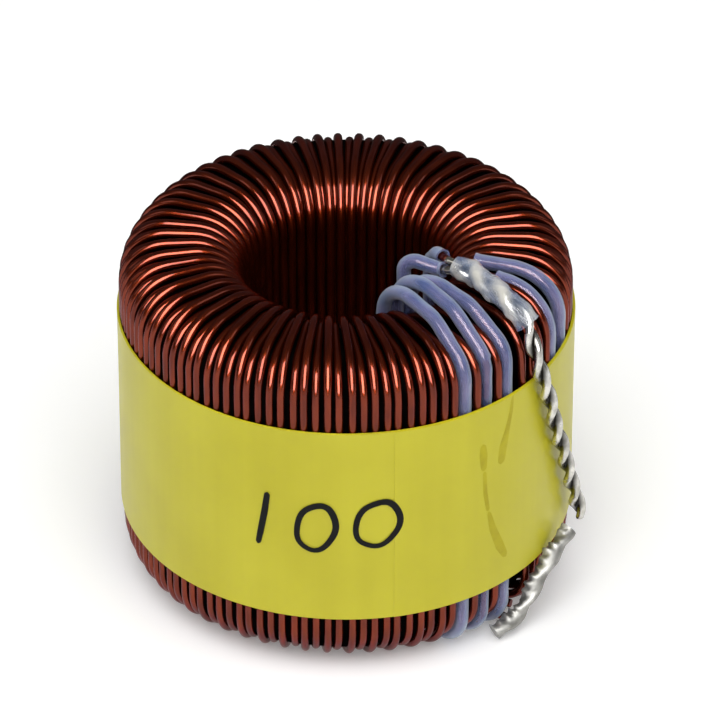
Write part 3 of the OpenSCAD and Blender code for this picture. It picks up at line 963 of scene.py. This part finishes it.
def add(tree, kind, inputs=None, ramp=(), **settings):
    """A shader node: its settings by name, its inputs as values or links, its ramp's colours."""
    node = tree.nodes.new("ShaderNode" + kind)
    for name, value in settings.items():
        setattr(node, name, value)
    for name, value in (inputs or {}).items():
        if isinstance(value, bpy.types.NodeSocket):
            tree.links.new(value, node.inputs[name])
        else:
            node.inputs[name].default_value = value
    for k, (place, code) in enumerate(ramp):
        node.color_ramp.elements[k].position = place
        node.color_ramp.elements[k].color = linear(code)
    return node


def new_material(name):
    material = bpy.data.materials.new(name)
    material.use_nodes = True
    material.node_tree.nodes.clear()
    return material, material.node_tree


def cover(material, *objects):
    """Gives a material to whole objects, which are new pieces or nodes of the CAD model."""
    for o in objects:
        if not o.material_slots:
            o.data.materials.append(material)
        for holder in o.material_slots:
            holder.material = material
    print(material.name, "on", [o.name for o in objects])


def per_mm(size):
    """The noise scale that makes spots of about this size in millimetres."""
    return 1 / (size * MM)


print("mid grey is", round(linear("#808080")[0], 3), "as a linear value")

# %% [markdown]
# ### Enamelled copper wire
# Magnet wire is drawn copper under a thin baked enamel, here red-brown. The copper makes the
# highlights warm and long, and the glossy enamel adds a sharp pale line inside them. The enamel
# is thicker in places, so its colour drifts every 5 or 6 mm of wire. The die that drew the wire
# left fine lines along it, here about 3 mm long, which show as a slightly uneven gloss.

# %% Enamel


def baked_enamel():
    material, tree = new_material("red_brown_enamelled_copper")
    uv = add(tree, "UVMap", uv_map="along").outputs["UV"]
    stretched = add(tree, "Mapping", {"Vector": uv, "Scale": (1, 0.06, 1)}).outputs["Vector"]
    drift = add(tree, "TexNoise", {"Vector": stretched, "Scale": 3, "Detail": 2}).outputs["Fac"]
    tone = add(tree, "ValToRGB", {"Fac": drift}, ramp=((0.35, "#5F1D08"), (0.68, "#7C2C0E")))
    lines = add(tree, "Mapping", {"Vector": uv, "Scale": (10, 0.35, 1)}).outputs["Vector"]
    drawn = add(tree, "TexNoise", {"Vector": lines, "Scale": 1, "Detail": 2}).outputs["Fac"]
    rough = add(tree, "MapRange", {"Value": drawn, "From Min": 0.3, "From Max": 0.7,
                                   "To Min": 0.2, "To Max": 0.27})
    dents = add(tree, "Bump", {"Height": drawn, "Strength": 0.1, "Distance": 0.03 * MM})
    shader = add(tree, "BsdfPrincipled", {
        "Base Color": tone.outputs["Color"], "Metallic": 0.9, "Roughness": rough.outputs["Result"],
        "Specular Tint": linear("#B06048"), "Coat Weight": 0.5, "Coat Roughness": 0.1, "Coat IOR": 1.5,
        "Normal": dents.outputs["Normal"]})
    add(tree, "OutputMaterial", {"Surface": shader.outputs["BSDF"]})
    return material


cover(baked_enamel(), strand_a, strand_b)

# %% [markdown]
# ### Blue sleeving
# The sleeving is extruded soft plastic, blue with a violet cast and only half clear. The wire
# shows through it as a dark red-violet core. Towards the edges the eye looks through more of the
# wall, so the plastic covers more there: its alpha follows the facing angle. Its colour also turns
# paler towards the edges by the facing angle, partly the thicker wall and partly a painted sheen.

# %% Sleeving


def extruded_sleeving():
    material, tree = new_material("translucent_blue_sleeving")
    place = add(tree, "TexCoord").outputs["Object"]
    cloud = add(tree, "TexNoise", {"Vector": place, "Scale": per_mm(5), "Detail": 3}).outputs["Fac"]
    tone = add(tree, "ValToRGB", {"Fac": cloud}, ramp=((0.35, "#5E73AC"), (0.7, "#A19ECD")))
    skin_noise = add(tree, "TexNoise", {"Vector": place, "Scale": per_mm(1.6), "Detail": 2}).outputs["Fac"]
    dents = add(tree, "Bump", {"Height": skin_noise, "Strength": 0.25, "Distance": 0.08 * MM})
    depth = add(tree, "LayerWeight", {"Blend": 0.35}).outputs["Facing"]
    body = add(tree, "MapRange", {"Value": depth, "To Min": 0.38, "To Max": 0.95}).outputs["Result"]
    # Painted sheen: the colour is mixed towards pale blue where the surface turns away from view.
    rim = add(tree, "MapRange", {"Value": depth, "From Min": 0.15, "From Max": 0.75}).outputs["Result"]
    colour = add(tree, "Mix", {0: rim, 6: tone.outputs["Color"], 7: linear("#CFDFF1")},
                 data_type="RGBA").outputs[2]
    shader = add(tree, "BsdfPrincipled", {
        "Base Color": colour, "Roughness": 0.25, "IOR": 1.42, "Alpha": body,
        "Coat Weight": 0.6, "Coat Roughness": 0.12, "Normal": dents.outputs["Normal"]})
    add(tree, "OutputMaterial", {"Surface": shader.outputs["BSDF"]})
    return material


cover(extruded_sleeving(), *sleeves)

# %% [markdown]
# ### Clear heat-shrink
# Clear polyolefin tubing goes slightly cloudy and blue-white as it shrinks. It stays glossy, so
# the folds carry bright streaks. Its tone is a cosine of the texture coordinates, two bands that
# wind once round the tube in each lay, with a little cloud added: painted cream highlights where
# the two wires inside would shine through, and painted blue shade between them. The pale bands
# are also a little less clear.

# %% Heat-shrink


def clear_heat_shrink():
    material, tree = new_material("clear_heat_shrink")
    place = add(tree, "TexCoord").outputs["Object"]
    cloud = add(tree, "TexNoise", {"Vector": place, "Scale": per_mm(2.2), "Detail": 4}).outputs["Fac"]
    uv = add(tree, "UVMap", uv_map="along").outputs["UV"]
    start = add(tree, "VectorMath", {0: uv, 1: (0, TWIST_STARTS, 0)}, operation="SUBTRACT")
    wound = {0: start.outputs["Vector"], 1: (4 * math.pi, -4 * math.pi / LAY, 0)}
    turn = add(tree, "VectorMath", wound, operation="DOT_PRODUCT").outputs["Value"]
    wave = add(tree, "Math", {0: turn}, operation="COSINE").outputs[0]
    # Painted highlights and shade: cream bands along the wires inside, blue between them.
    painted_glint_bands = add(tree, "Math", {0: wave, 1: 0.22, 2: cloud}, operation="MULTIPLY_ADD").outputs[0]
    tone = add(tree, "ValToRGB", {"Fac": painted_glint_bands}, ramp=((0.2, "#8FA6D0"), (0.8, "#FFFCF2")))
    dents = add(tree, "Bump", {"Height": cloud, "Strength": 0.4, "Distance": 0.15 * MM})
    depth = add(tree, "LayerWeight", {"Blend": 0.3}).outputs["Facing"]
    clear = add(tree, "MapRange", {"Value": depth, "To Min": 0.1, "To Max": 0.8}).outputs["Result"]
    white = add(tree, "MapRange", {"Value": painted_glint_bands, "From Min": 0.3, "From Max": 0.9, "To Max": 0.26})
    body = add(tree, "Math", {0: clear, 1: white.outputs["Result"]}, operation="ADD").outputs[0]
    shader = add(tree, "BsdfPrincipled", {
        "Base Color": tone.outputs["Color"], "Roughness": 0.15, "IOR": 1.5, "Alpha": body,
        "Coat Weight": 1.0, "Coat Roughness": 0.08, "Normal": dents.outputs["Normal"]})
    add(tree, "OutputMaterial", {"Surface": shader.outputs["BSDF"]})
    return material


cover(clear_heat_shrink(), shrink_tube)

# %% [markdown]
# ### Solder-tinned copper
# Tin solder is a bright, slightly warm white metal. Where it set slowly it is a little dull, so
# the roughness varies over a few millimetres and the surface is faintly dimpled. The grooves of
# the twist are painted darker as painted shade, most of all on the top lead. The bottom lead,
# which was dipped more heavily, is rougher and a darker grey, which is partly painted shade.

# %% Tinned copper


def tinned_copper(name, dark, pale, dull, dimples, groove_shade=0):
    material, tree = new_material(name)
    place = add(tree, "TexCoord").outputs["Object"]
    patches = add(tree, "TexNoise", {"Vector": place, "Scale": per_mm(2), "Detail": 3}).outputs["Fac"]
    tone = add(tree, "ValToRGB", {"Fac": patches}, ramp=((0.35, dark), (0.6, pale)))
    uv = add(tree, "UVMap", uv_map="along").outputs["UV"]
    round_it = add(tree, "SeparateXYZ", {"Vector": uv}).outputs["X"]
    turn = add(tree, "Math", {0: round_it, 1: 2 * math.pi}, operation="MULTIPLY").outputs[0]
    wave = add(tree, "Math", {0: turn}, operation="SINE").outputs[0]
    groove = add(tree, "Math", {0: wave}, operation="ABSOLUTE").outputs[0]
    # Painted shade: the tone darkens towards near black in the grooves of the twist.
    painted_groove_shade = add(tree, "MapRange", {"Value": groove, "From Min": 0.5, "From Max": 0.97, "To Max": groove_shade})
    groove_shaded_tone = add(tree, "Mix", {0: painted_groove_shade.outputs["Result"], 6: tone.outputs["Color"], 7: linear("#14120F")},
                 data_type="RGBA").outputs[2]
    rough = add(tree, "MapRange", {"Value": patches, "From Min": 0.3, "From Max": 0.7,
                                   "To Min": dull, "To Max": dull + 0.14})
    dents = add(tree, "Bump", {"Height": patches, "Strength": dimples, "Distance": 0.12 * MM})
    shader = add(tree, "BsdfPrincipled", {
        "Base Color": groove_shaded_tone, "Metallic": 1.0, "Roughness": rough.outputs["Result"],
        "Normal": dents.outputs["Normal"]})
    add(tree, "OutputMaterial", {"Surface": shader.outputs["BSDF"]})
    return material


cover(tinned_copper("tinned_wire_end", "#8E8778", "#CFCBC0", 0.12, 0.2), bare_end_a, bare_end_b)
cover(tinned_copper("bright_tinned_copper", "#A09E98", "#DAD8D2", 0.18, 0.25, groove_shade=1), top_lead)
# The bottom lead's darker grey is partly painted shade.
cover(tinned_copper("dull_shaded_tinned_copper", "#83827E", "#A4A39F", 0.5, 0.1, groove_shade=0.15), bottom_lead)

# %% [markdown]
# ### Yellow polyester tape
# Binding tape is a thin satin film, dyed yellow, with adhesive under it. The film itself is
# smooth, so what the eye sees is a soft sheen, faint upright stretch bands about 6 mm wide, and
# a slightly uneven tone in patches of about 14 mm, where the adhesive has gathered.

# %% Tape film


def polyester_tape():
    material, tree = new_material("yellow_polyester_tape")
    uv = add(tree, "UVMap", uv_map="along").outputs["UV"]
    bands = add(tree, "Mapping", {"Vector": uv, "Scale": (0.6, 0.11, 1)}).outputs["Vector"]
    stretch = add(tree, "TexNoise", {"Vector": bands, "Scale": 1.6, "Detail": 3}).outputs["Fac"]
    place = add(tree, "TexCoord").outputs["Object"]
    blotches = add(tree, "TexNoise", {"Vector": place, "Scale": per_mm(14), "Detail": 3}).outputs["Fac"]
    mixed = add(tree, "Mix", {"Factor": 0.5, 2: stretch, 3: blotches}, data_type="FLOAT").outputs["Result"]
    tone = add(tree, "ValToRGB", {"Fac": mixed}, ramp=((0.36, "#C2B90C"), (0.64, "#CEC61E")))
    dents = add(tree, "Bump", {"Height": stretch, "Strength": 0.15, "Distance": 0.1 * MM})
    shader = add(tree, "BsdfPrincipled", {
        "Base Color": tone.outputs["Color"], "Roughness": 0.42, "IOR": 1.45, "Coat Weight": 0.1,
        "Coat Roughness": 0.2, "Normal": dents.outputs["Normal"]})
    add(tree, "OutputMaterial", {"Surface": shader.outputs["BSDF"]})
    return material


cover(polyester_tape(), tape)

# %% [markdown]
# ### Marker ink and dried adhesive
# Marker ink dries matt black, and is a little thinner in spots. Dried adhesive has a dull gloss
# and stains the yellow film a deeper yellow.

# %% Ink and adhesive


def spotted(name, dark, pale, size, roughness, shine=0.5):
    """A plain dielectric finish whose tone varies in spots of a given size."""
    material, tree = new_material(name)
    place = add(tree, "TexCoord").outputs["Object"]
    spots = add(tree, "TexNoise", {"Vector": place, "Scale": per_mm(size), "Detail": 3}).outputs["Fac"]
    tone = add(tree, "ValToRGB", {"Fac": spots}, ramp=((0.35, dark), (0.65, pale)))
    dents = add(tree, "Bump", {"Height": spots, "Strength": 0.3, "Distance": 0.05 * MM})
    shader = add(tree, "BsdfPrincipled", {"Base Color": tone.outputs["Color"], "Roughness": roughness,
                                          "Specular IOR Level": shine, "Normal": dents.outputs["Normal"]})
    add(tree, "OutputMaterial", {"Surface": shader.outputs["BSDF"]})
    return material


cover(spotted("felt_marker_ink", "#030303", "#0B0B0C", 1.2, 0.8, shine=0.15), ink)
cover(spotted("dried_adhesive", "#B0A302", "#BFB406", 2.5, 0.5, shine=0.3), smears)

# %% [markdown]
# ### The core and its film
# What shows of the core between the turns is the dark film round it, which is matt and dusty. Its near black
# is partly the film's own colour and partly painted shade for the gaps between the turns.
# The ring cores under it have a matt epoxy coat with a fine grain.

# %% Core and film
# Painted shade: the film is near black without gloss, so the gaps between the turns show as shade.
film_and_gap_shade_finish = spotted("dark_core_film_and_gap_shade", "#020202", "#070606", 3, 0.95, shine=0)
coat_finish = spotted("matt_epoxy_coat", "#1C1D20", "#2B2C30", 0.4, 0.65)
cover(film_and_gap_shade_finish, film)
cover(coat_finish, *[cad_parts["core_ring_" + place] for place in ("lower", "middle", "upper")])

# %% [markdown]
# ## The studio
# A white floor lies under the coil, and the camera sees plain white beyond it. White paper alone
# would need strong lamps to look white. So the floor glows a little and the world is full white,
# but only for rays from the camera, mirrors and clear plastic. The floor still takes the coil's
# shadow, and the light on the coil stays at a plain level.

# %% Floor
FLOOR_GAP = 0.02


def seen_directly(tree):
    """1 for rays from the camera, mirrors and clear plastic, else 0."""
    path = add(tree, "LightPath")
    seen = path.outputs["Is Camera Ray"]
    for ray in ("Is Glossy Ray", "Is Transmission Ray"):
        seen = add(tree, "Math", {0: seen, 1: path.outputs[ray]}, operation="MAXIMUM").outputs[0]
    return seen


def studio_floor(half_width):
    """A square of white paper just under the lowest point, with its half width in metres."""
    material, tree = new_material("white_studio_floor")
    place = add(tree, "TexCoord").outputs["Object"]
    grain = add(tree, "TexNoise", {"Vector": place, "Scale": per_mm(60)}).outputs["Fac"]
    tone = add(tree, "ValToRGB", {"Fac": grain}, ramp=((0, "#F1F1F1"), (1, "#F6F6F6")))
    paper = add(tree, "BsdfDiffuse", {"Color": tone.outputs["Color"]})
    glow = add(tree, "Emission", {"Color": (1, 1, 1, 1), "Strength": 0.2})
    both = add(tree, "AddShader", {0: paper.outputs["BSDF"], 1: glow.outputs["Emission"]})
    shown = add(tree, "MixShader", {0: seen_directly(tree), 1: paper.outputs["BSDF"], 2: both.outputs[0]})
    add(tree, "OutputMaterial", {"Surface": shown.outputs[0]})
    s = half_width / MM
    z = floor_level / MM - FLOOR_GAP
    floor = to_object("studio_floor", [(-s, -s, z), (s, -s, z), (s, s, z), (-s, s, z)], [(0, 1, 2, 3)])
    cover(material, floor)


studio_floor(half_width=6)

# %% Background
world = bpy.data.worlds.new("studio")
world.use_nodes = True
bpy.context.scene.world = world
sky_tree = world.node_tree
sky_tree.nodes.clear()
strength = add(sky_tree, "MapRange", {"Value": seen_directly(sky_tree), "To Min": 0.25, "To Max": 1.0})
sky = add(sky_tree, "Background", {"Color": (1, 1, 1, 1), "Strength": strength.outputs["Result"]})
add(sky_tree, "OutputWorld", {"Surface": sky.outputs["Background"]})
print("background strength:", strength.inputs["To Max"].default_value)

# %% [markdown]
# Lamps are large and soft, because a glossy wire mirrors a lamp's shape. A wide, tall panel near
# the camera draws the long streaks along the turns: only mirrors see it, and it lights nothing
# else. A panel overhead does the opposite: it lights the matt surfaces and mirrors don't see it.
# Two small panels at the sides do both.

# %% Lamps


def softbox(name, azimuth, elevation, distance, width, height, watts, mirrored=True, lights=True):
    """A rectangular lamp that faces the coil, seen in mirrors, lighting matt surfaces, or both."""
    a, e = math.radians(azimuth), math.radians(elevation)
    place = Vector((math.sin(a) * math.cos(e), -math.cos(a) * math.cos(e), math.sin(e))) * distance
    lamp = bpy.data.objects.new(name, bpy.data.lights.new(name, "AREA"))
    lamp.data.shape = "RECTANGLE"
    lamp.data.size = width
    lamp.data.size_y = height
    lamp.data.energy = watts
    lamp.visible_glossy = mirrored
    lamp.visible_diffuse = lights
    lamp.matrix_world = Matrix.Translation(place) @ place.to_track_quat("Z", "Y").to_matrix().to_4x4()
    bpy.context.scene.collection.objects.link(lamp)
    print(name, watts, "W")


softbox("streak_panel", 0, 38, 0.9, 0.84, 0.86, 23, lights=False)
softbox("overhead_panel", 0, 67, 0.9, 0.84, 1.0, 8.5, mirrored=False)
softbox("left_panel", -75, 35, 0.9, 0.3, 0.5, 0.5)
softbox("right_panel", 75, 35, 0.9, 0.3, 0.5, 0.5)

# %% [markdown]
# Glossy wires mirror everything round them, and in an all-white room they look flat. A studio
# hangs black flags round the set, so that the metal has something dark to mirror between its
# highlights. Here a dark dome does that all round, from just above the floor, and a low dark card
# close behind the coil hides the floor there. Only mirror rays see them.

# %% Dark flags
DOME_RINGS = 10
CARD_RADIUS = 92
CARD_BOTTOM, CARD_TOP = -24, 30
CARD_FROM, CARD_TO = 105, 255


def dark_flags(radius, lowest):
    """A dome from its lowest angle to the top, and a card behind the coil, as one object."""
    material, tree = new_material("black_flag_cloth")
    place = add(tree, "TexCoord").outputs["Object"]
    shade = add(tree, "TexNoise", {"Vector": place, "Scale": per_mm(400)}).outputs["Fac"]
    tone = add(tree, "ValToRGB", {"Fac": shade}, ramp=((0, "#303030"), (1, "#747474")))
    cloth = add(tree, "Emission", {"Color": tone.outputs["Color"], "Strength": 1.0})
    add(tree, "OutputMaterial", {"Surface": cloth.outputs["Emission"]})
    rings = []
    for k in range(DOME_RINGS):
        e = math.radians(between(lowest, 89, k / (DOME_RINGS - 1)))
        rings.append([at(a, radius * math.cos(e), radius * math.sin(e)) for a in range(0, 360, 15)])
    n, m = len(rings), len(rings[0])
    faces = [(i * m + k, i * m + (k + 1) % m, (i + 1) * m + (k + 1) % m, (i + 1) * m + k)
             for i in range(n - 1) for k in range(m)]
    card_angles = range(CARD_FROM, CARD_TO + 1, 10)
    card = [at(a, CARD_RADIUS, z) for z in (CARD_BOTTOM, CARD_TOP) for a in card_angles]
    low = n * m
    high = low + len(card_angles)
    faces += [(low + k, low + k + 1, high + k + 1, high + k) for k in range(len(card_angles) - 1)]
    flags = to_object("dark_flags", np.concatenate([np.reshape(rings, (-1, 3)), card]), faces)
    cover(material, flags)
    flags.visible_camera = False
    flags.visible_diffuse = False
    flags.visible_transmission = False
    flags.visible_shadow = False


dark_flags(radius=2000, lowest=4)
bpy.context.scene.view_settings.view_transform = "Standard"
